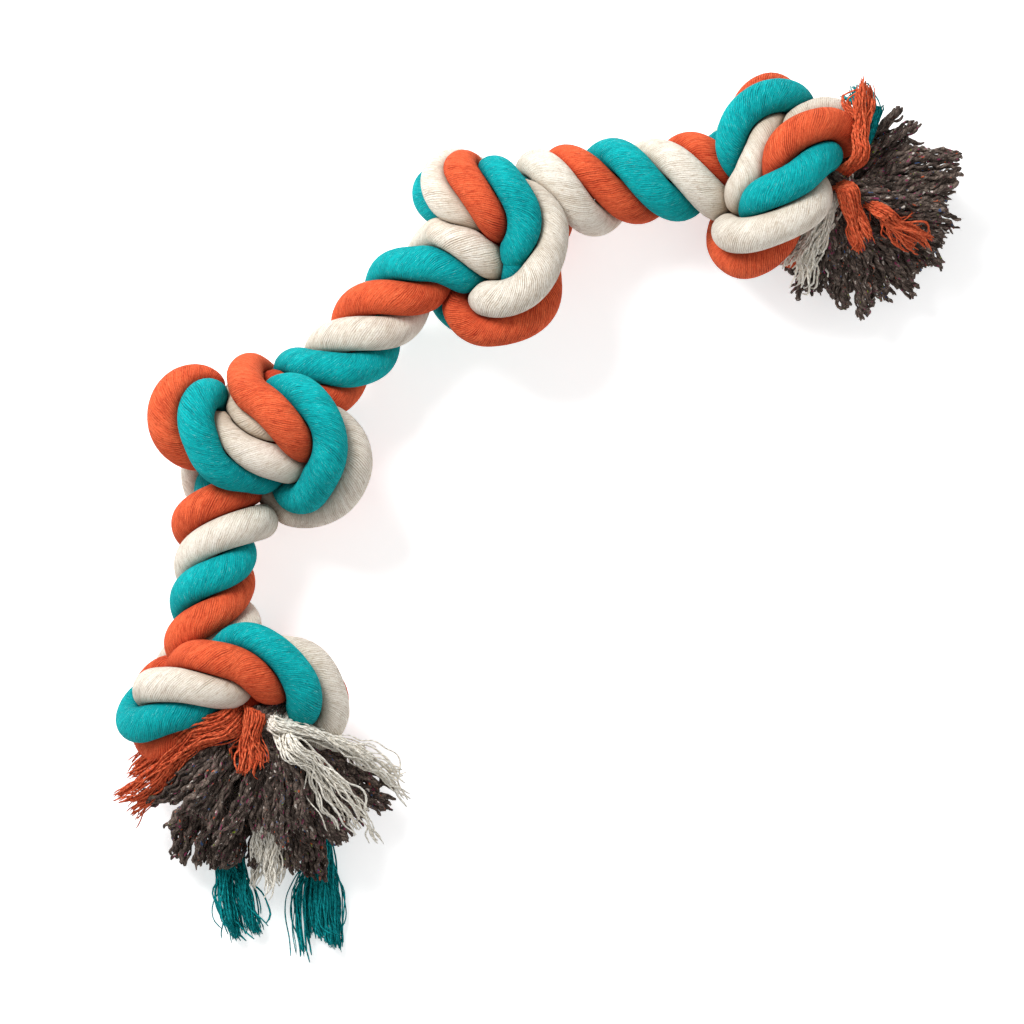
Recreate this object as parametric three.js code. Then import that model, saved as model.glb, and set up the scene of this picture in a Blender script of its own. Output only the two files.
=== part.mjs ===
import * as THREE from "three";

// Rope dog toy: a three-strand rope, four overhand knots and a tassel at each end.
// It lies flat, +Z up, in millimetres.

// strand and rope sizes
const STRAND_D = 17.5;
const STRAND_LAY_R = 10.3;
const STRANDS = 3;
const LAY_STEP = 20.3;
const ROPE_SQUEEZED_R = 12.8;
const STRAND_SQUEEZED_R = 7.3;
const STRAND_FREE_R = 8.6;
const SQUEEZE_STATIONS = 8;
const CLEARANCE = 0.45;
const LOCK_CLEARANCE = 0.05;
const CUT_GAP = 0.4;
const SLIM_SLOPE = 1.6;
const CHORD_SHARE = 0.5;
const SHORTEST_CHORD = 6;
const FAR_RUNS = 52;
const NEAR_RUNS = 26;
const CURVE_STEP = 3.4;
const FLOOR_SINK = 1.9;
const GROUND_CUT = 1.5;
const CENTRE = [12.4, -1.8];

// tube facets
const TUBE_SIDES = 7;
const TUBE_STRIDE = 2;
const CURVE_PARTS = 24;

// counts: end runs left free at a tail, next runs of a line that may be near it,
// steps searched for a route point, steps averaged to each side, rounds between searches
const TAIL_COUNT = 3;
const NEXT_COUNT = 3;
const SEARCH_COUNT = 40;
const AVERAGE_COUNT = 2;
const LISTING_COUNT = 10;

// settling: rounds, stiffness, push of touching passes, pull towards the route in x, y and z
const SAME_LINE_SHARE = 1.73;
const LISTED_SHARE = 1.6;
const ROPE_SETTLING = { rounds: 300, smooth: 0.2, soften: 0.1, push: 0.25,
  hold: [0.07, 0.07, 0.04], floor: 0, pinned: 3 };
const STRAND_SETTLING = { rounds: 160, smooth: 0.1, soften: 0.1, push: 0.35,
  hold: [0.02, 0.02, 0.02], floor: -FLOOR_SINK, pinned: 3 };
const LOCK_SETTLING = { rounds: 120, smooth: 0.1, soften: 0.25, push: 0.3,
  hold: [0.02, 0.02, 0.02], floor: -FLOOR_SINK, pinned: 0 };

// height of the rope's centre line over the ground
const ROPE_HEIGHT = 40.0;

// rope centre line, x and y seen from above, z from ROPE_HEIGHT
const ROPE_ROUTE = [
  // knot 1, from its tassel
  [-133.5, -126, 7], [-134.5, -109, 6], [-137, -95, 1], [-142, -84, -12.5],
  [-154, -80, -18.5], [-167.5, -88.5, -20], [-178, -100, -14.5], [-183, -110, 1],
  [-179, -100, 15.5], [-164.5, -88.5, 18.5], [-141.5, -80, 18.5], [-120.5, -83.5, 16.5],
  [-106, -95.5, 7.5], [-108, -108, -8.5], [-123, -109, -15.5], [-137.5, -100, -12.5],
  [-148.5, -85.5, -4],
  // first span
  [-155, -66.5, 0], [-155.5, -46, 0], [-153.5, -25, 0], [-148.5, -5, 0],
  // knot 2
  [-146.5, 9.5, -7.5], [-149, 25, -16.5], [-153, 43, -17.5], [-159, 55, -3],
  [-165, 54, 12.5], [-160, 42, 18.5], [-142.5, 33, 17.5], [-122.5, 34, 4],
  [-109, 39, -13.5], [-110, 41, -20], [-120, 44, -14], [-126, 46, 6],
  [-118, 46, 19], [-104.5, 41, 18.5], [-101, 32, 11.5], [-112, 25, 0],
  [-127, 29, -9], [-124, 42, -5], [-108, 60.5, 0],
  // second span
  [-97, 70.5, 0], [-87, 79, 1], [-71, 100, 0], [-55.5, 115.5, 3], [-47, 122.5, 6],
  // knot 3
  [-37.5, 130, 10.5], [-18.5, 133, 4], [-6, 139.5, -10.5], [-5, 153, -18.5],
  [-15, 158, -18.5], [-26, 162, -4], [-23, 161, 12.5], [-10.5, 162, 18.5],
  [2.5, 156, 18.5], [8.5, 138.5, 18.5], [3, 118.5, 16.5], [-12, 111, 7.5],
  [-24, 119.5, -8.2], [-14, 136, -8.5], [4, 155, -3],
  // third span
  [20, 164.5, 0], [27, 167, 0], [51, 170.5, 0], [77, 172, 0], [100.5, 172, 0],
  [112, 170, 0],
  // knot 4, to its tassel
  [118, 171.5, -2], [129, 180, -14], [139, 190, -19], [146, 198, -11], [144, 203, 3],
  [137, 202.5, 14], [129, 198, 18], [126.5, 187, 17], [129.5, 176, 9], [137, 165, -6],
  [145, 160, -17], [152, 168, -21], [155, 182, -12], [153, 192, 7], [148.5, 194, 19],
  [144, 183, 22], [140, 170, 21], [135, 159, 15], [132, 152, 1], [129, 157, -10],
  [133, 167, -9], [143, 172, -4], [154, 171, -2], [166, 169.5, 0], [184, 168, 1],
];

// which strand lies uppermost at a route point, counted on along the rope:
// 0 orange, 1 teal, 2 cream, 3 orange again
const UPPERMOST_SHARES = [
  [7, 0.0], [8, 1.1], [9, 2.0], [10, 3.0], [11, 3.8], [12, 4.5],
  [18, 0.33], [19, 1.44], [20, 2.48],
  [25, 0.65], [26, 1.0], [27, 1.5], [28, 2.2],
  [32, 2.7], [33, 3.1], [34, 3.6], [35, 4.1],
  [40, 0.8], [41, 1.3], [42, 2.5], [43, 3.3], [45, 4.0], [46, 4.7],
  [51, 2.1], [52, 3.3], [53, 4.1], [54, 4.6], [55, 4.9], [56, 5.4],
  [61, 1.9], [62, 3.2], [63, 4.35], [64, 5.45], [66, 6.2],
  [71, 1.2], [72, 1.5], [73, 1.7], [74, 2.1],
  [79, 2.8], [80, 3.1], [81, 3.4], [82, 4.0], [83, 4.5], [84, 5.0],
];

// route points where the pieces part: tail, three spans, tail
const TAIL_1 = 1;
const SPANS = [[17, 21], [40, 44], [60, 65]];
const TAIL_4 = ROPE_ROUTE.length - 2;

// planes where the rope ends and its yarns open out
const TAIL_PLANE_1 = { axis: 1, at: -111, sign: -1 };
const TAIL_PLANE_2 = { axis: 0, at: 171, sign: 1 };

// tassel locks: name, colour, strand it carries on from, route
const LOCK_STEP = 9.0;
const LOCK_SIDES = 16;
const LOCK_ROOT_R = 12;
const LOCK_TIP_R = 15;
const LOCK_SETTLED_ROOT_R = 5.5;
const LOCK_SETTLED_TIP_R = 10;
const LOCKS_1 = [
  ["brown_left", "brown", 0, [[-149, -122, 22], [-163, -138, 17], [-184, -157, -2]]],
  ["brown_middle", "brown", 1, [[-142, -126, 14], [-148, -145, 13], [-157, -166, 2]]],
  ["brown_right", "brown", 2, [[-119, -122, 20], [-119, -144, 17], [-122, -168, 4]]],
  ["brown_far_right", "brown", -1, [[-100, -128, 2], [-84, -140, -6], [-66, -152, -22]]],
  ["brown_side_right", "brown", -1, [[-106, -124, 8], [-101, -148, 6], [-94, -172, -10]]],
  ["brown_low_left", "brown", -1, [[-156, -142, -12], [-160, -164, -18], [-166, -186, -26]]],
  ["brown_low_middle", "brown", -1, [[-140, -148, -16], [-142, -172, -22], [-146, -190, -28]]],
  ["brown_low_right", "brown", -1, [[-112, -140, -10], [-108, -168, -16], [-106, -192, -24]]],
  ["orange_short", "orange", -1, [[-133, -112, 27], [-135, -122, 27], [-138, -134, 24]]],
  ["orange_long", "orange", -1, [[-151, -112.5, 25], [-175, -127, 14], [-205, -149, -14]]],
  ["cream_right", "cream", -1, [[-116, -112.5, 25], [-90, -118, 14], [-56, -146, -20]]],
  ["cream_fall", "cream", -1, [[-108, -116, 24], [-95, -142, 18], [-80, -170, -8]]],
  ["cream_low", "cream", -1, [[-127, -154, -4], [-128, -174, -9], [-131, -198, -20]]],
  ["teal_left", "teal", -1, [[-150, -168, -30], [-146, -192, -31], [-141, -224, -32]]],
  ["teal_right", "teal", -1, [[-106, -160, -28], [-102, -190, -30], [-100, -232, -32]]],
];
const LOCKS_2 = [
  ["brown_top", "brown", 0, [[190, 184, 2], [201, 194, 0], [209, 201, -10]]],
  ["brown_middle", "brown", 1, [[187, 174, 4], [208, 175, 0], [230, 177, -14]]],
  ["brown_front", "brown", -1, [[180, 161, 14], [202, 160, 10], [228, 154, -8]]],
  ["brown_lower", "brown", 2, [[184, 146, -6], [194, 130, -14], [203, 111, -24]]],
  ["brown_side", "brown", -1, [[192, 150, -12], [208, 141, -16], [222, 131, -24]]],
  ["brown_under", "brown", -1, [[178, 138, 2], [179, 124, -8], [180, 111, -22]]],
  ["brown_bottom", "brown", -1, [[166, 142, 14], [161, 131, 4], [156, 120, -16]]],
  ["orange_top", "orange", -1, [[178, 188, 31], [181, 204, 27], [181, 222, 12]]],
  ["orange_front", "orange", -1, [[173, 159, 26], [179, 148, 27], [184, 136, 18]]],
  ["orange_side", "orange", -1, [[183, 154, 26], [198, 146, 18], [215, 139, 0]]],
  ["teal_top", "teal", -1, [[189, 200, 8], [184, 210, 4], [176, 219, -2]]],
  ["cream_lower", "cream", -1, [[158, 144, 22], [151, 134, 14], [147, 124, -4]]],
];

const COLOURS = { orange: 0xd9541f, teal: 0x00989c, cream: 0xe9e1d0, brown: 0x4a3a36 };
const ROUGHNESS = 0.95;
const STRAND_COLOURS = ["orange", "teal", "cream"];

const add = (a, b, k) => [a[0] + b[0] * k, a[1] + b[1] * k, a[2] + b[2] * k];
const sub = (a, b) => [a[0] - b[0], a[1] - b[1], a[2] - b[2]];
const dot = (a, b) => a[0] * b[0] + a[1] * b[1] + a[2] * b[2];
const size = (a) => Math.sqrt(dot(a, a));
const unit = (a) => a.map((x) => x / size(a));
const cross = (a, b) => [
  a[1] * b[2] - a[2] * b[1], a[2] * b[0] - a[0] * b[2], a[0] * b[1] - a[1] * b[0],
];

// a smooth curve through the points, in equal steps
function evenCurve(points, step) {
  const last = points.length - 1;
  const ends = [add(points[0], sub(points[1], points[0]), -1), ...points];
  ends.push(add(points[last], sub(points[last - 1], points[last]), -1));
  const fine = [];
  for (let i = 1; i <= last; i += 1) {
    const [a, b, c, d] = ends.slice(i - 1, i + 3);
    for (let j = 0; j < CURVE_PARTS; j += 1) {
      const t = j / CURVE_PARTS;
      fine.push([0, 1, 2].map((k) => 0.5 * (2 * b[k] + (c[k] - a[k]) * t
        + (2 * a[k] - 5 * b[k] + 4 * c[k] - d[k]) * t * t
        + (3 * b[k] - a[k] - 3 * c[k] + d[k]) * t * t * t)));
    }
  }
  fine.push(points[last]);
  const run = [0];
  for (let i = 1; i < fine.length; i += 1) run.push(run[i - 1] + size(sub(fine[i], fine[i - 1])));
  const total = run[run.length - 1];
  const count = Math.max(2, Math.round(total / step) + 1);
  const out = [];
  let at = 0;
  for (let i = 0; i < count; i += 1) {
    const want = total * i / (count - 1);
    while (at < run.length - 2 && run[at + 1] < want) at += 1;
    const part = (want - run[at]) / Math.max(run[at + 1] - run[at], 1e-9);
    out.push(add(fine[at], sub(fine[at + 1], fine[at]), Math.min(1, Math.max(0, part))));
  }
  return out;
}

// pushes passes apart where they meet, and keeps every line smooth and near its route
function relax(lines, radii, { rounds, smooth, soften, push, hold, floor, pinned }) {
  const home = lines.flat(2);
  const r = radii.flat();
  const line = lines.flatMap((pts, k) => pts.map(() => k));
  const along = lines.flatMap((pts) => pts.map((p, i) => i));
  const fixed = lines.flatMap((pts) => pts.map((p, i) => i < pinned || i >= pts.length - pinned));
  const inner = lines.flatMap((pts) => pts.map((p, i) => i > 0 && i < pts.length - 1));
  const step = lines.map((pts) => size(sub(pts[1], pts[0])));
  const now = Float64Array.from(home);
  const bend = new Float64Array(home.length);
  const move = new Float64Array(home.length);
  const hits = new Float64Array(r.length);
  const apart = (i, j) => Math.hypot(now[3 * i] - now[3 * j], now[3 * i + 1] - now[3 * j + 1],
    now[3 * i + 2] - now[3 * j + 2]);
  let near = [];
  for (let round = 0; round < rounds; round += 1) {
    if (round % LISTING_COUNT === 0) {
      near = [];
      for (let i = 0; i < r.length; i += 1) {
        for (let j = i + 1; j < r.length; j += 1) {
          const reach = (r[i] + r[j]) * SAME_LINE_SHARE;
          if (line[i] === line[j] && (along[j] - along[i]) * step[line[i]] <= reach) continue;
          if (apart(i, j) < (r[i] + r[j] + CLEARANCE) * LISTED_SHARE) near.push(i, j);
        }
      }
    }
    for (let i = 0; i < r.length; i += 1) {
      for (let k = 0; k < 3; k += 1) {
        const n = 3 * i + k;
        bend[n] = inner[i] ? (now[n - 3] + now[n + 3]) / 2 - now[n] : 0;
      }
    }
    for (let i = 0; i < r.length; i += 1) {
      for (let k = 0; inner[i] && k < 3; k += 1) {
        const n = 3 * i + k;
        const wave = (bend[n - 3] + bend[n + 3]) / 2 - bend[n];
        now[n] += smooth * (soften * bend[n] - wave) + hold[k] * (home[n] - now[n]);
      }
    }
    move.fill(0);
    hits.fill(0);
    for (let m = 0; m < near.length; m += 2) {
      const i = near[m];
      const j = near[m + 1];
      const far = apart(i, j) + 1e-9;
      const need = r[i] + r[j] + CLEARANCE;
      if (far >= need) continue;
      for (let k = 0; k < 3; k += 1) {
        const part = push * (need - far) / far * (now[3 * i + k] - now[3 * j + k]);
        move[3 * i + k] += part;
        move[3 * j + k] -= part;
      }
      hits[i] += 1;
      hits[j] += 1;
    }
    for (let i = 0; i < r.length; i += 1) {
      for (let k = 0; k < 3; k += 1) {
        const n = 3 * i + k;
        if (fixed[i]) now[n] = home[n];
        else if (hits[i]) now[n] += move[n] / Math.sqrt(hits[i]);
      }
      if (!fixed[i]) now[3 * i + 2] = Math.max(now[3 * i + 2], floor + r[i]);
    }
  }
  let from = 0;
  return lines.map((pts) => pts.map(() => {
    from += 1;
    return [now[3 * from - 3], now[3 * from - 2], now[3 * from - 1]];
  }));
}

// tangent, normal and side direction carried along a line without twist
function carriedFrames(pts, first = null, last = null) {
  const n = pts.length;
  const tangent = pts.map((p, i) => unit(sub(pts[Math.min(i + 1, n - 1)], pts[Math.max(i - 1, 0)])));
  if (first) tangent[0] = first;
  if (last) tangent[n - 1] = last;
  const normal = [];
  let held = [0, 0, 1];
  tangent.forEach((t) => {
    held = unit(add(held, t, -dot(held, t)));
    normal.push(held);
  });
  return { tangent, normal, side: tangent.map((t, i) => cross(normal[i], t)) };
}

// value at every station of a line from values given at a few of them
function spread(stations, values, count) {
  const out = [];
  let at = 0;
  for (let i = 0; i < count; i += 1) {
    while (at < stations.length - 2 && stations[at + 1] < i) at += 1;
    const part = (i - stations[at]) / (stations[at + 1] - stations[at]);
    out.push(values[at] + (values[at + 1] - values[at]) * part);
  }
  return out.map((x, i) => {
    let sum = 0;
    for (let k = -AVERAGE_COUNT; k <= AVERAGE_COUNT; k += 1) {
      sum += out[Math.min(count - 1, Math.max(0, i + k))];
    }
    return sum / (2 * AVERAGE_COUNT + 1);
  });
}

// the rope's centre line, settled, and the station of every route point on it
const route = ROPE_ROUTE.map((p) => [p[0], p[1], p[2] + ROPE_HEIGHT]);
const drawn = evenCurve(route, CURVE_STEP);
const stations = [];
route.forEach((p) => {
  let best = stations.length ? stations[stations.length - 1] : 0;
  const end = Math.min(drawn.length, best + SEARCH_COUNT);
  for (let i = best; i < end; i += 1) {
    if (size(sub(drawn[i], p)) < size(sub(drawn[best], p))) best = i;
  }
  stations.push(best);
});
const rope = relax([drawn], [drawn.map(() => ROPE_SQUEEZED_R)], ROPE_SETTLING)[0];

// the lay: how many strands have passed at every station, from the uppermost ones
const frame = carriedFrames(rope);
const turnStations = [];
const turns = [];
let passed = 0;
let lastStation = 0;
UPPERMOST_SHARES.forEach(([point, strand]) => {
  const at = stations[point];
  const facing = Math.atan2(frame.side[at][2], frame.normal[at][2]) * STRANDS / (2 * Math.PI);
  const guess = passed + (at - lastStation) * CURVE_STEP / LAY_STEP;
  const want = strand - facing;
  passed = turns.length ? want + STRANDS * Math.round((guess - want) / STRANDS) : want;
  lastStation = at;
  turnStations.push(at);
  turns.push(passed);
});
const perStation = CURVE_STEP / LAY_STEP;
turns.unshift(turns[0] - turnStations[0] * perStation);
turnStations.unshift(0);
turns.push(passed + (rope.length - 1 - lastStation) * perStation);
turnStations.push(rope.length - 1);
const lay = spread(turnStations, turns, rope.length);

// three strands laid round the centre line, then settled against each other
const laid = STRAND_COLOURS.map((colour, k) => rope.map((p, i) => {
  const angle = 2 * Math.PI * (k - lay[i]) / STRANDS;
  const out = add(frame.normal[i].map((x) => x * Math.cos(angle)), frame.side[i], Math.sin(angle));
  return add(p, out, STRAND_LAY_R);
}));
const spanStations = SPANS.map((pair) => pair.map((point) => stations[point]));
const squeezed = laid.map((pts) => pts.map((p, i) => {
  const inSpan = Math.max(...spanStations.map(([from, to]) => Math.min(i - from, to - i)));
  const part = Math.min(1, Math.max(0, 0.5 + inSpan / SQUEEZE_STATIONS));
  return STRAND_SQUEEZED_R + (STRAND_FREE_R - STRAND_SQUEEZED_R) * part;
}));
const strands = relax(laid, squeezed, STRAND_SETTLING);

// pieces as lines with a radius at every point
const lines = [];
function strandPiece(name, k, from, to, cutStart, tail) {
  const pts = [];
  const n = Math.max(2, Math.round((to - from) / TUBE_STRIDE));
  for (let i = 0; i <= n; i += 1) {
    const at = Math.round(from + (to - from) * i / n);
    const here = strands[k][at];
    const inside = at > 0 && at < strands[k].length - 1 && i > 0 && i < n;
    const next = inside ? add(strands[k][at - 1], strands[k][at + 1], 1) : here.map((x) => 2 * x);
    const moved = here.map((x, j) => x - CHORD_SHARE * (next[j] / 2 - x));
    const last = pts[pts.length - 1];
    if (i > 0 && i < n && size(sub(moved, last)) < SHORTEST_CHORD) continue;
    if (i === n && size(sub(moved, last)) < SHORTEST_CHORD) pts.pop();
    pts.push(moved);
  }
  const heading = (at) => {
    const [before, after] = [Math.max(0, at - 1), Math.min(at + 1, strands[k].length - 1)];
    return unit(sub(strands[k][after], strands[k][before]));
  };
  if (cutStart) pts[0] = add(pts[0], heading(from), CUT_GAP);
  lines.push({ name: `${name}_${STRAND_COLOURS[k]}`, colour: STRAND_COLOURS[k], strand: k, pts,
    r: pts.map(() => STRAND_D / 2), sides: TUBE_SIDES, tail, first: heading(from),
    last: heading(to) });
}
STRAND_COLOURS.forEach((colour, k) => {
  const cuts = SPANS.map((pair) => pair.map((point) => stations[point]));
  const ends = [stations[TAIL_1], ...cuts.flat(), stations[TAIL_4]];
  for (let i = 0; i + 1 < ends.length; i += 1) {
    const number = Math.floor(i / 2) + 1;
    const tail = i === 0 ? -1 : Number(i + 2 === ends.length);
    const name = i % 2 ? `span_${number}` : `knot_${number}`;
    strandPiece(name, k, ends[i], ends[i + 1], i > 0, tail);
  }
});

// tassel locks
const lockLines = [["tassel_1", LOCKS_1, TAIL_1, TAIL_PLANE_1], ["tassel_2", LOCKS_2, TAIL_4,
  TAIL_PLANE_2]].flatMap(([place, locks, tail, plane]) => (
  locks.map(([name, colour, strand, middle]) => {
    const up = middle.map((p) => [p[0], p[1], p[2] + ROPE_HEIGHT]);
    if (strand >= 0) {
      const root = [...strands[strand][stations[tail]]];
      root[plane.axis] = plane.at + plane.sign * CUT_GAP;
      up.unshift(root);
    }
    const pts = evenCurve(up, LOCK_STEP);
    const grown = (root, tip) => (
      pts.map((p, i) => root + (tip - root) * Math.sqrt(i / (pts.length - 1))));
    const r = grown(LOCK_ROOT_R, LOCK_TIP_R);
    const settledR = grown(LOCK_SETTLED_ROOT_R, LOCK_SETTLED_TIP_R);
    const beyond = plane.sign * (up[0][plane.axis] - plane.at) > 0 ? plane : null;
    return { name: `${place}_${name}`, colour, strand: -1, pts, r, settledR, sides: LOCK_SIDES,
      lock: true, beyond };
  })
));
relax(lockLines.map((piece) => piece.pts), lockLines.map((piece) => piece.settledR), LOCK_SETTLING)
  .forEach((pts, i) => { lockLines[i].pts = pts; });
lines.push(...lockLines);

// shortest distance between two straight runs
function runsApart(a, b, c, d) {
  const u = sub(b, a);
  const v = sub(d, c);
  const w = sub(a, c);
  const uu = dot(u, u);
  const uv = dot(u, v);
  const vv = dot(v, v);
  const uw = dot(u, w);
  const vw = dot(v, w);
  const det = uu * vv - uv * uv;
  const clamp = (x) => Math.min(1, Math.max(0, x));
  let s = det > 1e-9 ? clamp((uv * vw - vv * uw) / det) : 0;
  const t = clamp((uv * s + vw) / vv);
  s = clamp((uv * t - uw) / uu);
  return size(sub(add(a, u, s), add(c, v, t)));
}

// slims every line where another one is close, so that no two tubes meet
function slim(all) {
  const runs = [];
  all.forEach((piece, k) => {
    for (let i = 0; i + 1 < piece.pts.length; i += 1) {
      const [a, b] = [piece.pts[i], piece.pts[i + 1]];
      const atTail = (piece.tail < 0 && i < TAIL_COUNT)
        || (piece.tail > 0 && i > piece.pts.length - 2 - TAIL_COUNT);
      runs.push({ k, i, a, b, piece, atTail, mid: add(a, sub(b, a), 0.5) });
    }
  });
  const close = [];
  for (let i = 0; i < runs.length; i += 1) {
    for (let j = i + 1; j < runs.length; j += 1) {
      const p = runs[i];
      const q = runs[j];
      const apartMid = size(sub(p.mid, q.mid));
      if (apartMid > FAR_RUNS) continue;
      if (p.k === q.k && (p.piece.lock || Math.abs(p.i - q.i) < NEXT_COUNT)) continue;
      const sameStrand = p.k !== q.k && p.piece.strand >= 0 && p.piece.strand === q.piece.strand;
      if (sameStrand && apartMid < NEAR_RUNS) continue;
      if ((p.atTail && q.piece.beyond) || (q.atTail && p.piece.beyond)) continue;
      const gap = p.piece.lock || q.piece.lock ? LOCK_CLEARANCE : CLEARANCE;
      close.push([p, q, runsApart(p.a, p.b, q.a, q.b) - gap]);
    }
  }
  const limit = ({ piece, i }, most) => {
    piece.r[i] = Math.min(piece.r[i], most);
    piece.r[i + 1] = Math.min(piece.r[i + 1], most);
  };
  const thickest = ({ piece, i }) => Math.max(piece.r[i], piece.r[i + 1]);
  const slope = () => all.forEach(({ r }) => {
    for (let i = 1; i < r.length; i += 1) r[i] = Math.min(r[i], r[i - 1] + SLIM_SLOPE);
    for (let i = r.length - 2; i >= 0; i -= 1) r[i] = Math.min(r[i], r[i + 1] + SLIM_SLOPE);
  });
  const free = all.map(({ r }) => [...r]);
  close.forEach(([p, q, room]) => {
    if (!p.piece.lock && !q.piece.lock) [p, q].forEach((run) => limit(run, room / 2));
  });
  slope();
  close.forEach(([p, q, room]) => {
    if (p.piece.lock && q.piece.lock) [p, q].forEach((run) => limit(run, room / 2));
    else if (q.piece.lock) limit(q, room - thickest(p));
    else if (p.piece.lock) limit(p, room - thickest(q));
  });
  slope();
  all.forEach((piece, k) => {
    if (!piece.lock) return;
    const most = [...free[k]];
    close.forEach(([p, q, room]) => {
      [[p, q], [q, p]].filter(([run]) => run.k === k).forEach(([run, other]) => {
        most[run.i] = Math.min(most[run.i], room - thickest(other));
        most[run.i + 1] = Math.min(most[run.i + 1], room - thickest(other));
      });
    });
    piece.r = piece.r.map((r, i) => Math.max(r, most[i]));
    slope();
  });
}
slim(lines);

// a closed tube of changing radius, flat where it rests on the ground or meets a tail plane
function tube({ pts, r, sides, tail, first, last, beyond }) {
  const { tangent, normal, side } = carriedFrames(pts, first, last);
  const position = [];
  const index = [];
  pts.forEach((p, i) => {
    for (let k = 0; k < sides; k += 1) {
      const angle = 2 * Math.PI * k / sides;
      let q = add(add(p, normal[i], r[i] * Math.cos(angle)), side[i], -r[i] * Math.sin(angle));
      const tailEnd = (tail < 0 && i === 0) || (tail > 0 && i === pts.length - 1);
      if (tailEnd) {
        const { axis, at } = tail < 0 ? TAIL_PLANE_1 : TAIL_PLANE_2;
        q = add(q, tangent[i], (at - q[axis]) / tangent[i][axis]);
      }
      if (beyond) {
        const { axis, at, sign } = beyond;
        q[axis] = sign * Math.max(sign * q[axis], sign * at + CUT_GAP);
      }
      position.push(q[0] - CENTRE[0], q[1] - CENTRE[1], Math.max(0, q[2] - GROUND_CUT));
    }
  });
  for (let i = 0; i + 1 < pts.length; i += 1) {
    for (let k = 0; k < sides; k += 1) {
      const a = i * sides + k;
      const b = i * sides + (k + 1) % sides;
      index.push(a, b, a + sides, b, b + sides, a + sides);
    }
  }
  const cap = (pts.length - 1) * sides;
  for (let k = 1; k + 1 < sides; k += 1) {
    index.push(0, k + 1, k);
    index.push(cap, cap + k, cap + k + 1);
  }
  const geometry = new THREE.BufferGeometry();
  geometry.setAttribute("position", new THREE.Float32BufferAttribute(position, 3));
  geometry.setIndex(index);
  geometry.computeVertexNormals();
  return geometry;
}

const toy = new THREE.Group();
toy.name = "rope_dog_toy";
lines.forEach((piece) => {
  const material = new THREE.MeshStandardMaterial({
    name: `${piece.colour}_cotton`, color: COLOURS[piece.colour], roughness: ROUGHNESS,
  });
  const mesh = new THREE.Mesh(tube(piece), material);
  mesh.name = piece.name;
  toy.add(mesh);
});

export default toy;
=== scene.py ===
"""Rope dog toy: a three-strand cotton rope, four overhand knots and a tassel at each end."""
import math

import bpy
import numpy as np
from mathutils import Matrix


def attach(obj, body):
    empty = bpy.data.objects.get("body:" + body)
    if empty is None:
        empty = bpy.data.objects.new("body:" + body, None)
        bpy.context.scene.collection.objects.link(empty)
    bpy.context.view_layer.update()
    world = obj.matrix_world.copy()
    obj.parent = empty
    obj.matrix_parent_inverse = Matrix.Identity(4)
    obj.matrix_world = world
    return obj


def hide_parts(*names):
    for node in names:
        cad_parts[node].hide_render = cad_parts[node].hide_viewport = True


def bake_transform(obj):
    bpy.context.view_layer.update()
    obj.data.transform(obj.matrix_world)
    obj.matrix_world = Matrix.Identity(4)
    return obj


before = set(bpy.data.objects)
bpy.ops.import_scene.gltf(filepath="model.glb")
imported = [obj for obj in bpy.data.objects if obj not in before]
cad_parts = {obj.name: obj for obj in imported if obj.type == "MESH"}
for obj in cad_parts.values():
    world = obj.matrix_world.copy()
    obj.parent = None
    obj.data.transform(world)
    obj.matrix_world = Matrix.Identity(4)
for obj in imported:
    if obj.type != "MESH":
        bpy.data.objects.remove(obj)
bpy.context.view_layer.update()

# The rope: three soft cotton strands laid up together and tied in four overhand knots.
# It lies on the ground in an open arc. Its centre line follows a listed route,
# and is then settled, so that passes that touch push each other aside as soft rope does.
STRANDS = 3
COLOURS = ("orange", "teal", "cream")
ROPE_HEIGHT = 0.040
CENTRE = (0.0124, -0.0018)
GROUND_CUT = 0.0015
CURVE_STEP = 0.0034
CURVE_PARTS = 24
SEARCH_COUNT = 40
ROPE_SQUEEZED_R = 0.0128
CLEARANCE = 0.00045

# which passes are compared, how often they are listed, and the least distance told apart
SAME_LINE_SHARE = 1.73
LISTED_SHARE = 1.6
LISTING_COUNT = 10
LEAST_APART = CLEARANCE / 1000

# how the rope settles: rounds, stiffness, push where it touches, pull to the route in x, y, z
ROPE_SETTLING = dict(
    rounds=300, smooth=0.2, soften=0.1, push=0.25, hold=(0.07, 0.07, 0.04), floor=0.0, pinned=3
)

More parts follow.
